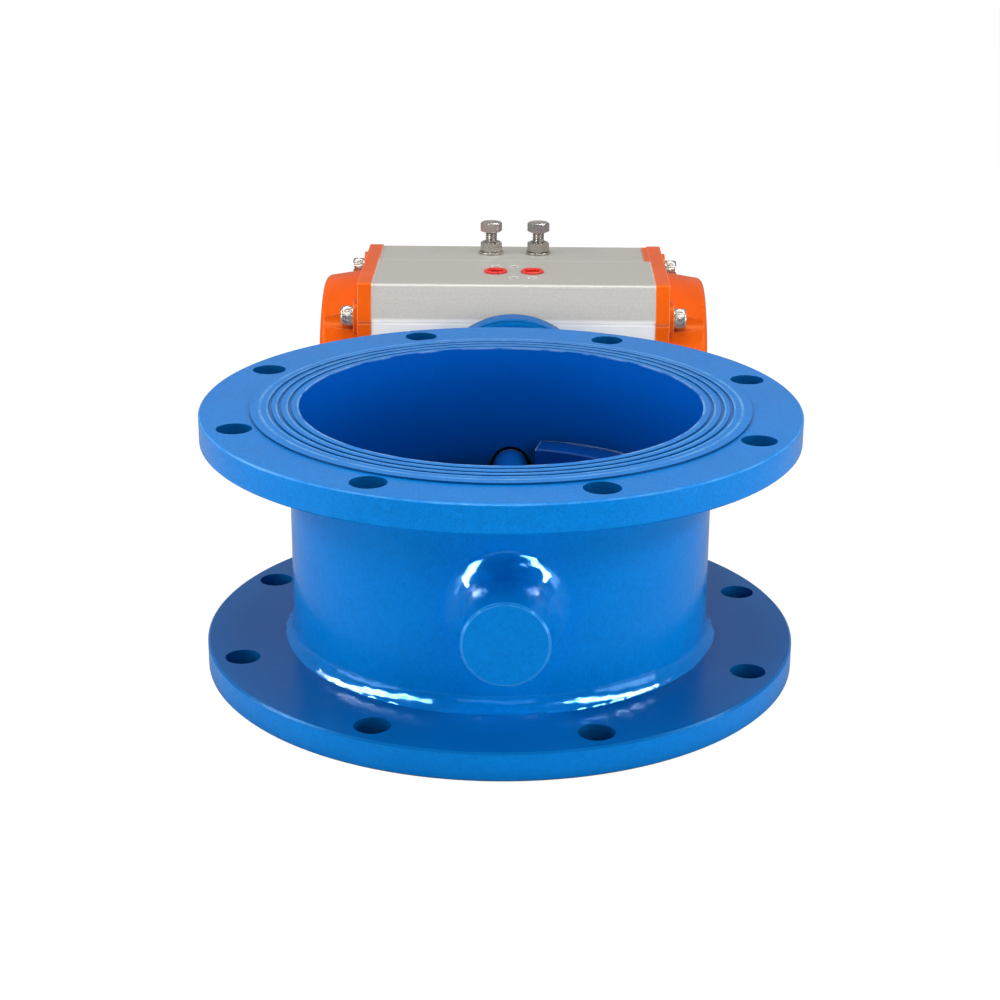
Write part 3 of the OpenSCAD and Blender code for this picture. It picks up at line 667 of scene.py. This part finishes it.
# ---------------------------------------------------------------- welds

RIPPLE_HIGH = 0.06 * MM
RIPPLE_LONG = 1.6 * MM                     # length of a ripple over 2 pi

def bead_section(steps, foot, head):
    """Unit fillet from the plate (1, 0) to the wall (0, 1), then back through the corner.

    An end's power of 1 leaves it angular; larger powers feather it into the plate or the wall.
    """
    points = []
    for i in range(steps + 1):
        t = i / steps
        points.append(Vector(((1 - t) ** head, t ** foot)))
    sunk = -0.06
    return points + [Vector((sunk, 1.0)), Vector((sunk, sunk)), Vector((1.0, sunk))]


def ripple(length, seed):
    """Height of the frozen weld pool at a length along the bead."""
    wobble = 2.5 * noise.noise(Vector((length * 70, seed, 0)))
    return RIPPLE_HIGH * math.sin(length / RIPPLE_LONG + wobble)


def ring_bead(name, wall_r, z, up, leg, height, seed):
    """A weld round the pipe, standing on height z and leaning on the wall."""
    count = 540
    steps = 8
    section = bead_section(steps, 1.15, 1.6)
    rings = []
    for k in range(count):
        a = spin(k, count)
        at = Vector((math.cos(a), math.sin(a), 0))
        wide = leg * (1.0 + 0.22 * lumps(at, 3.0, seed) + 0.05 * lumps(at, 12.0, seed))
        high = height * (1.0 + 0.16 * lumps(at, 3.5, seed + 5) + 0.04 * lumps(at, 14.0, seed + 5))
        ring = []
        for i, p in enumerate(section):
            inner = 1.0 if 0 < i < steps else 0.0
            blob = 0.16 * MM * lumps(at, 16.0, seed + i * 0.3)
            swell = inner * (ripple(a * wall_r, seed) + blob)
            r = wall_r + wide * p.x + swell * 0.7
            ring.append(Vector((r * at.x, r * at.y, z + up * (high * p.y + swell * 0.7))))
        rings.append(ring)
    return grid_mesh(name, rings)


def saddle_bead(name, bar_r, out, leg_wall, leg_bar, seed):
    """A weld between the pipe and a bar on the stem axis; out is -1 for the front, 1 for the back."""
    count = 288
    steps = 10
    section = bead_section(steps, 1.7, 1.5)
    rings = []
    for k in range(count):
        a = spin(k, count)
        at = Vector((math.cos(a), 0, math.sin(a)))
        wide = leg_wall * (1.0 + 0.15 * lumps(at, 1.8, seed) + 0.04 * lumps(at, 6.0, seed))
        high = leg_bar * (1.0 + 0.15 * lumps(at, 1.6, seed + 3) + 0.04 * lumps(at, 6.5, seed + 3))
        ring = []
        for i, p in enumerate(section):
            inner = 1.0 if 0 < i < steps else 0.0
            blob = 0.30 * MM * lumps(at, 4.0, seed + i * 0.2)
            swell = inner * (0.7 * ripple(a * bar_r, seed) + blob)
            r = bar_r + wide * p.x + swell * 0.7
            x = STEM_X + r * at.x
            z = STEM_Z + r * at.z
            wall_y = math.sqrt(PIPE_R ** 2 - x ** 2)
            ring.append(Vector((x, out * (wall_y + high * p.y + swell * 0.7), z)))
        rings.append(ring)
    return grid_mesh(name, rings)


def plate_bead(name, bar_r, y, leg, seed):
    """A weld between a bar on the stem axis and a plate whose near side is at y."""
    count = 216
    steps = 6
    section = bead_section(steps, 1.3, 1.3)
    rings = []
    for k in range(count):
        a = spin(k, count)
        at = Vector((math.cos(a), 0, math.sin(a)))
        grown = leg * (1.0 + 0.12 * lumps(at, 2.5, seed))
        ring = []
        for i, p in enumerate(section):
            inner = 1.0 if 0 < i < steps else 0.0
            r = bar_r + grown * p.x + inner * ripple(a * bar_r, seed)
            ring.append(Vector((STEM_X + r * at.x, y - grown * p.y, STEM_Z + r * at.z)))
        rings.append(ring)
    return grid_mesh(name, rings)


RING_LEG = size("lower_flange_weld").x / 2 - PIPE_R
RING_HEIGHT = size("lower_flange_weld").z


def add_bead(mesh, node):
    """A weld in place of its CAD node."""
    bead = add_piece(mesh.name, mesh, "body", "weld_paint", 50)
    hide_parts(node)
    return bead


lower_ring = add_bead(
    ring_bead("lower_ring_bead", PIPE_R, PLATE_LOW_TOP, 1, RING_LEG, RING_HEIGHT, 1.3),
    "lower_flange_weld")
add_bead(
    ring_bead("upper_ring_bead", PIPE_R, PLATE_HIGH_FOOT, -1, RING_LEG, RING_HEIGHT, 7.9),
    "upper_flange_weld")
boss_bead = add_bead(
    saddle_bead("boss_bead", BOSS_R, -1, 9.5 * MM, 11 * MM, 3.1),
    "blind_boss_weld")
add_bead(saddle_bead("neck_bead", NECK_R, 1, 7 * MM, 8 * MM, 5.7), "drive_neck_weld")
add_bead(plate_bead("flange_bead", NECK_R, NECK_END, 2.8 * MM, 9.1), "mounting_flange_weld")


def seam_film():
    """Paint bridging the joint between the pipe's end and the upper plate inside the duct."""
    profile = [                            # (off the wall, along it) in millimetres
        (0.05, -6), (-0.02, -4), (-0.05, -2), (-0.06, 0),
        (-0.05, 2), (-0.02, 4), (0.05, 6), (0.4, 0),
    ]
    count = 360
    rings = []
    for k in range(count):
        a = spin(k, count)
        ring = []
        for off, z in profile:
            r = DUCT_R + off * MM
            ring.append(Vector((r * math.cos(a), r * math.sin(a), PLATE_HIGH_FOOT + z * MM)))
        rings.append(ring)
    return grid_mesh("duct_seam_film", rings)


def ledge_run(name, side, z, up):
    """A thin wavy run of weld and paint along the corner between a ledge and the pipe wall."""
    count = 160
    around = 10
    reach = math.radians(78)
    rings = []
    for k in range(count + 1):
        a = reach * (2 * k / count - 1)
        at = Vector((side * math.cos(a), math.sin(a), 0))
        taper = min(1.0, 0.15 + 8 * min(k, count - k) / count)
        thick = 0.6 * MM * taper * (1.0 + 0.4 * lumps(at, 14.0, 2.3))
        r = DUCT_R - 0.3 * MM - 0.5 * MM * lumps(at, 9.0, 4.1)
        ring = []
        for i in range(around):
            b = spin(i, around)
            lift = up * 0.2 * MM + thick * math.sin(b)
            ring.append(at * (r + thick * math.cos(b)) + Vector((0, 0, z + lift)))
        rings.append(ring)
    return grid_mesh(name, rings, close_rows=False, caps=True)


film = add_piece("duct_seam_film", seam_film(), "body", "pipe_paint", 50)
runs = []
for name, side, z, up in (
    ("upper_ledge_run", 1, LEDGE_TOP, 1),
    ("lower_ledge_run", -1, LEDGE_FOOT, -1),
):
    run = add_piece(name, ledge_run(name, side, z, up), "body", "pale_run", 80)
    runs.append(run)


# ---------------------------------------------------------------- fasteners

def hexagon_radius(a, across):
    """Distance from the centre to a hexagon's side, in the direction a."""
    sixth = math.pi / 3
    return across / 2 / math.cos((a % sixth) - sixth / 2)


def hexagon_body(across, height, chamfer_low=False, bore=0.0):
    """A hexagon head or nut standing on z = 0, its corners cut by a cone as turned."""
    count = 96
    axis = 0.02 * MM                       # a pin hole's radius, where a face closes on the axis
    crown = across / 2 * 0.965
    slope = math.tan(math.radians(30))
    rings = []
    for k in range(count):
        a = spin(k, count)
        side = hexagon_radius(a, across)
        drop = (side - crown) * slope
        profile = []
        if bore:
            profile += [(bore, 0.5 * MM), (bore + 0.5 * MM, 0)]
        else:
            profile += [(axis, 0)]
        if chamfer_low:
            profile += [(crown, 0), (side, drop)]
        else:
            profile += [(across / 2 * 0.92, 0), (across / 2 * 0.93, 0.3 * MM), (side, 0.35 * MM)]
        profile += [(side, height - drop), (crown, height)]
        if bore:
            profile += [(bore + 0.5 * MM, height), (bore, height - 0.5 * MM)]
        else:
            dished = height - 0.15 * MM
            profile += [(across / 2 * 0.72, height), (across / 2 * 0.66, dished), (axis, dished)]
        rings.append([Vector((r * math.cos(a), r * math.sin(a), z)) for r, z in profile])
    return grid_mesh("hexagon", rings)


def thread(major_r, pitch, length):
    """A screw thread standing on z = 0, with a tapered lower end."""
    depth = THREAD_DEPTH * pitch
    count = 32
    per_turn = 6
    rows = int(length / pitch * per_turn)
    rings = []
    for i in range(rows + 1):
        z = length * i / rows
        ring = []
        for k in range(count):
            phase = (z / pitch - k / count) % 1.0
            crest = min(1.0, max(0.0, 1.6 * (1 - abs(2 * phase - 1)) - 0.25))
            lead = min(1.0, z / (1.2 * pitch))
            r = major_r - depth + depth * crest * lead
            a = spin(k, count)
            ring.append(Vector((r * math.cos(a), r * math.sin(a), z)))
        rings.append(ring)
    return grid_mesh("thread", rings, close_rows=False, caps=True)


def lathe(name, profile, count):
    """A turned shape from a closed profile of (radius, height) points."""
    rings = []
    for k in range(count):
        a = spin(k, count)
        rings.append([Vector((r * math.cos(a), r * math.sin(a), z)) for r, z in profile])
    return grid_mesh(name, rings)


def rounded(points, radius, steps=4):
    """Rounds the inner corners of an open profile."""
    made = [Vector(points[0])]
    for i in range(1, len(points) - 1):
        before, corner, after = (Vector(points[i + s]) for s in (-1, 0, 1))
        r = min(radius, (before - corner).length / 2.2, (after - corner).length / 2.2)
        start = corner + (before - corner).normalized() * r
        end = corner + (after - corner).normalized() * r
        for s in range(steps + 1):
            t = s / steps
            made.append(start.lerp(corner, t).lerp(corner.lerp(end, t), t))
    return [tuple(p) for p in made + [Vector(points[-1])]]


def stop_bolt(name, node, turn):
    """Builds one stop bolt on its own body and returns the point on its axis at z = 0."""
    low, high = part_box(node)
    head_h = STOP_HEAD_H
    centre = Vector(((low.x + high.x) / 2, (low.y + high.y) / 2, 0))
    shank = high.z - head_h - low.z
    foot_at = Matrix.Translation(centre + Vector((0, 0, low.z)))
    head_at = Matrix.Translation(centre + Vector((0, 0, high.z - head_h)))
    mesh = join(name, [
        (thread(M8_R, M8_PITCH, shank + 0.2 * MM), foot_at),
        (hexagon_body(M8_HEX, head_h), head_at @ Matrix.Rotation(turn, 4, "Z")),
    ])
    piece = add_piece(name, mesh, node, "stainless", 28)
    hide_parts(node)
    return centre


stop_places = [
    stop_bolt("left_stop_bolt", "stop_bolt_left", math.radians(14)),
    stop_bolt("right_stop_bolt", "stop_bolt_right", math.radians(-3)),
]


def lock_nuts(turns):
    """The nuts under the stop bolts' heads, turned by the given degrees."""
    low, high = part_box("stop_nuts")
    parts = []
    for place, turn in zip(stop_places, turns):
        at = Matrix.Translation(place + Vector((0, 0, low.z)))
        nut = hexagon_body(M8_HEX, high.z - low.z, True, M8_R + 0.05 * MM)
        parts.append((nut, at @ Matrix.Rotation(math.radians(turn), 4, "Z")))
    piece = add_piece("lock_nuts", join("lock_nuts", parts), "body", "stainless", 28)
    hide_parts("stop_nuts")


lock_nuts((-14, -9))


def cap_screws(node, side):
    """The four socket screws of one end cap; side is -1 for the left cap, 1 for the right."""
    low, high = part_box(node)
    head_r = 6.5 * MM
    head_h = 8 * MM
    outer = high.x if side > 0 else low.x
    foot = outer - side * head_h
    shank = abs(foot - (low.x if side > 0 else high.x))
    turn = Matrix.Rotation(side * math.pi / 2, 4, "Y")
    parts = []
    for i, (y, z) in enumerate(screw_centres(node)):
        at = Matrix.Translation(Vector((foot, y, z))) @ turn @ Matrix.Rotation(0.7 * i + side, 4, "Z")
        parts.append((open_screw(head_r, head_h, M8_R, shank), at))
    piece = add_piece(node + "_detail", join(node, parts), "body", "stainless", 30)
    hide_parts(node)


def open_screw(head_r, head_h, shank_r, shank_l):
    """A socket head screw as one closed skin: shank, knurled head, hexagon recess."""
    knurls = 36
    across = 6 * MM
    depth = 4 * MM
    axis = 0.02 * MM
    count = 180
    rings = []
    for k in range(count):
        a = spin(k, count)
        groove = 0.25 * MM * (0.5 - 0.5 * math.cos(a * knurls))
        hexa = hexagon_radius(a, across)
        profile = [
            (axis, -shank_l), (shank_r - 0.6 * MM, -shank_l), (shank_r, -shank_l + 0.6 * MM),
            (shank_r, -0.3 * MM), (shank_r + 0.3 * MM, 0), (head_r * 0.95, 0), (head_r, 0.05 * head_h),
            (head_r, 0.12 * head_h), (head_r - groove, 0.18 * head_h), (head_r - groove, 0.50 * head_h),
            (head_r - groove, 0.80 * head_h), (head_r, 0.86 * head_h), (head_r * 0.985, 0.94 * head_h),
            (head_r * 0.93, head_h), (head_r * 0.58, head_h), (hexa, head_h - 0.4 * MM),
            (hexa, head_h - depth), (axis, head_h - depth - 0.7 * MM),
        ]
        rings.append([Vector((r * math.cos(a), r * math.sin(a), z)) for r, z in profile])
    return grid_mesh("cap_screw", rings)


def screw_centres(node):
    """Centres (y, z) of a node's four screws, from the corners of its own vertices."""
    low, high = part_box(node)
    centre = (low + high) / 2
    found = []
    for sy in (-1, 1):
        for sz in (-1, 1):
            near = [v.co for v in nodes[node].data.vertices
                    if (v.co.y - centre.y) * sy > 0 and (v.co.z - centre.z) * sz > 0]
            ys = [p.y for p in near]
            zs = [p.z for p in near]
            found.append(((min(ys) + max(ys)) / 2, (min(zs) + max(zs)) / 2))
    return found


cap_screws("left_cap_screws", -1)
cap_screws("right_cap_screws", 1)


def mount_bolts():
    """The four bolts from the round flange into the cylinder, their heads towards the pipe."""
    low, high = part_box("mount_bolts")
    head_h = MOUNT_HEAD_H
    shank = high.y - low.y - head_h
    turn = Matrix.Rotation(math.pi / 2, 4, "X")
    parts = []
    for i, (x, z) in enumerate(mount_bolt_centres()):
        head = Matrix.Translation(Vector((x, low.y + head_h, z))) @ turn
        body = Matrix.Translation(Vector((x, high.y, z))) @ turn
        parts.append((hexagon_body(M8_HEX, head_h), head @ Matrix.Rotation(0.4 * i, 4, "Z")))
        parts.append((thread(M8_R, M8_PITCH, shank + 0.2 * MM), body))
    piece = add_piece("mount_bolts_detail", join("mount_bolts_detail", parts), "body", "stainless", 28)
    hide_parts("mount_bolts")


def mount_bolt_centres():
    """Centres (x, z) of the four bolts, which stand in a square round the stem."""
    corner = M8_HEX / math.sqrt(3)
    reach = size("mount_bolts").x / 2 - corner
    return [(STEM_X + sx * reach, STEM_Z + sz * reach) for sx in (-1, 1) for sz in (-1, 1)]


mount_bolts()


# ---------------------------------------------------------------- port plugs

def port_plug():
    """A moulded cup plug standing on z = 0, its stub below and its mouth open."""
    lip = rounded([
        (5.85 * MM, -9.8 * MM), (5.85 * MM, -0.1 * MM), (PLUG_R, 0), (PLUG_R, 1.1 * MM),
        (7.0 * MM, 1.5 * MM), (5.4 * MM, 1.4 * MM), (5.0 * MM, 0.6 * MM), (4.9 * MM, -7 * MM),
        (0.02 * MM, -7.2 * MM),
    ], 0.4 * MM)
    return lathe("plug", lip + [(0.02 * MM, -9.8 * MM)], 72)


def port_plugs():
    """Both red plugs in the air ports, as one piece."""
    low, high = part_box("port_plugs")
    y = (low.y + high.y) / 2
    places = [Vector((x, y, PORT_FACE)) for x in (low.x + PLUG_R, high.x - PLUG_R)]
    mesh = join("port_plug_caps", [(port_plug(), Matrix.Translation(p)) for p in places])
    piece = add_piece("port_plug_caps", mesh, "body", "plug_red", 50)
    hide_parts("port_plugs")


port_plugs()


# ---------------------------------------------------------------- port face

def hole_mouth():
    """The bright machined mouth of an M5 accessory hole, standing on z = 0."""
    return lathe("mouth", [
        (2.15 * MM, -1.0 * MM), (2.8 * MM, -0.1 * MM), (2.95 * MM, 0.05 * MM), (3.2 * MM, 0.05 * MM),
        (3.3 * MM, -0.2 * MM), (2.7 * MM, -1.2 * MM),
    ], 48)


def hole_mouths():
    """The mouths of both pairs of accessory holes, as one piece."""
    parts = []
    for name in ("port_face_near_holes", "port_face_far_holes"):
        pair = mount(name)
        reach = Vector((pair["dims"]["spacing_x_mm"] / 2 * MM, 0, 0))
        for at in (Vector(pair["pos_m"]) - reach, Vector(pair["pos_m"]) + reach):
            parts.append((hole_mouth(), Matrix.Translation(at)))
    piece = add_piece("port_hole_mouths", join("port_hole_mouths", parts), "body", "bare_alloy", 50)
    return piece


mouths = hole_mouths()


# ---------------------------------------------------------------- studio

def backdrop_glow(tree, shaded, share):
    """Lets the camera see the shaded backdrop brightened towards white."""
    glow = tree.nodes.new("ShaderNodeEmission")
    glow.inputs["Strength"].default_value = 1.08
    path = tree.nodes.new("ShaderNodeLightPath")
    amount = tree.nodes.new("ShaderNodeMath")
    amount.operation = "MULTIPLY"
    amount.inputs[1].default_value = share
    mix = tree.nodes.new("ShaderNodeMixShader")
    tree.links.new(path.outputs["Is Camera Ray"], amount.inputs[0])
    tree.links.new(amount.outputs[0], mix.inputs[0])
    tree.links.new(shaded, mix.inputs[1])
    tree.links.new(glow.outputs[0], mix.inputs[2])
    return mix.outputs[0]


def floor():
    """A pale floor reaching out of the picture, just under the lower raised face."""
    g = Graph("pale_floor")
    pale = g.mix(g.noise(3.0, 2.0), (0.72, 0.72, 0.72), (0.69, 0.69, 0.69))
    mirrored = g.node("ShaderNodeLightPath").outputs["Is Glossy Ray"]
    g.set(Base_Color=g.mix(mirrored, pale, (0.36, 0.36, 0.36)), Roughness=0.7)
    g.link(backdrop_glow(g.tree, g.shader.outputs[0], 0.9), g.out.inputs["Surface"])
    half = 9.0
    z = cad_box[0].z - 0.2 * MM
    corners = [(-half, -half, z), (half, -half, z), (half, half, z), (-half, half, z)]
    mesh = bpy.data.meshes.new("floor")
    mesh.from_pydata(corners, [], [(0, 1, 2, 3)])
    mesh.materials.append(g.material)
    piece = bpy.data.objects.new("studio_floor", mesh)
    bpy.context.scene.collection.objects.link(piece)


def softbox(name, place, aim, width, height, power, only=None):
    """A rectangular lamp; given a list of pieces, it only shows as a reflection in those."""
    light = bpy.data.lights.new(name, "AREA")
    light.shape = "RECTANGLE"
    light.size = width
    light.size_y = height
    light.energy = power
    made = bpy.data.objects.new(name, light)
    if only:
        made.visible_diffuse = False
        seen = bpy.data.collections.new(name + "_receivers")
        for piece in only:
            seen.objects.link(piece)
        made.light_linking.receiver_collection = seen
    made.location = place
    made.rotation_euler = (Vector(aim) - Vector(place)).to_track_quat("-Z", "Y").to_euler()
    bpy.context.scene.collection.objects.link(made)


def world(horizon, zenith, behind):
    """Soft grey light, from horizon to zenith strength; the camera sees it white.

    behind is added in full straight behind the valve, and taken away in front.
    """
    made = bpy.data.worlds.new("studio")
    made.use_nodes = True
    tree = made.node_tree
    back = tree.nodes["Background"]
    place = tree.nodes.new("ShaderNodeTexCoord")
    split = tree.nodes.new("ShaderNodeSeparateXYZ")
    level = tree.nodes.new("ShaderNodeMapRange")
    level.interpolation_type = "SMOOTHSTEP"
    level.inputs["To Min"].default_value = horizon
    level.inputs["To Max"].default_value = zenith
    tree.links.new(place.outputs["Generated"], split.inputs[0])
    rear = tree.nodes.new("ShaderNodeMath")
    rear.operation = "MULTIPLY_ADD"
    rear.use_clamp = True
    rear.inputs[1].default_value = behind
    tree.links.new(split.outputs["Z"], level.inputs["Value"])
    tree.links.new(split.outputs["Y"], rear.inputs[0])
    tree.links.new(level.outputs["Result"], rear.inputs[2])
    tree.links.new(rear.outputs[0], back.inputs["Strength"])
    back.inputs["Color"].default_value = (1, 1, 1, 1)
    tree.links.new(backdrop_glow(tree, back.outputs[0], 1.0), tree.nodes["World Output"].inputs["Surface"])
    bpy.context.scene.world = made


def camera():
    """Seen from the front, looking down 19.5 degrees."""
    yaw = math.radians(0.68)
    pitch = math.radians(19.53)
    roll = math.radians(0.335)
    place = (0.0117, -1.0075, 0.4424)
    forward = Vector((-math.sin(yaw) * math.cos(pitch), math.cos(yaw) * math.cos(pitch), -math.sin(pitch)))
    side = forward.cross(Vector((0, 0, 1))).normalized()
    up = side.cross(forward)
    right = side * math.cos(roll) + up * math.sin(roll)
    top = up * math.cos(roll) - side * math.sin(roll)
    data = bpy.data.cameras.new("camera")
    data.sensor_width = 36.0
    data.lens = 73.33
    made = bpy.data.objects.new("camera", data)
    turn = Matrix((right, top, -forward)).transposed()
    made.matrix_world = Matrix.Translation(place) @ turn.to_4x4()
    bpy.context.scene.collection.objects.link(made)
    bpy.context.scene.camera = made


floor()
world(0.12, 0.30, 0.20)
target = (0, 0, 0.07)                      # the middle of the pipe
bolt_target = (0, 0.3, 0.14)               # the stop bolts
softbox("left_strip", (-1.19, -0.32, 0.93), target, 1.9, 0.13, 11.0)
softbox("right_strip", (1.12, -0.52, 0.93), target, 1.6, 0.13, 9.3)
softbox("left_mirror", (-1.19, -0.32, 0.93), target, 1.5, 0.32, 250.0, only=[lower_ring])
softbox("right_mirror", (1.12, -0.52, 0.85), target, 1.3, 0.22, 150.0, only=[lower_ring])
softbox("left_boss_mirror", (-1.15, -0.40, 0.98), target, 2.2, 1.5, 1500.0, only=[boss_bead])
softbox("right_boss_mirror", (1.12, -0.45, 1.05), target, 2.2, 1.4, 1300.0, only=[boss_bead])
steel = [bpy.data.objects[n] for n in ("left_stop_bolt", "right_stop_bolt", "lock_nuts")]
softbox("steel_mirror", (-1.3, -0.5, 0.9), bolt_target, 1.0, 0.5, 22.0, only=steel)
softbox("steel_top_mirror", (0.2, 1.2, 1.6), bolt_target, 0.7, 0.5, 18.0, only=steel)
softbox("top_mirror", (0, -0.1, 2.0), target, 0.6, 0.4, 60.0, only=runs + [mouths, nodes["upper_flange"]])
softbox("front_fill", (0, -1.9, 0.55), target, 1.2, 0.5, 5.0)
softbox("left_fill", (-1.5, -0.60, 0.15), target, 1.0, 0.6, 12.5)
softbox("right_fill", (1.5, -0.60, 0.15), target, 1.0, 0.6, 14.0)
softbox("front_strip", (0, -0.75, 1.95), target, 1.6, 0.08, 2.6)
softbox("overhead", (0, 0.1, 2.0), target, 1.0, 0.8, 18.0)
camera()

bpy.context.scene.view_settings.view_transform = "Standard"
bpy.context.scene.view_settings.look = "None"
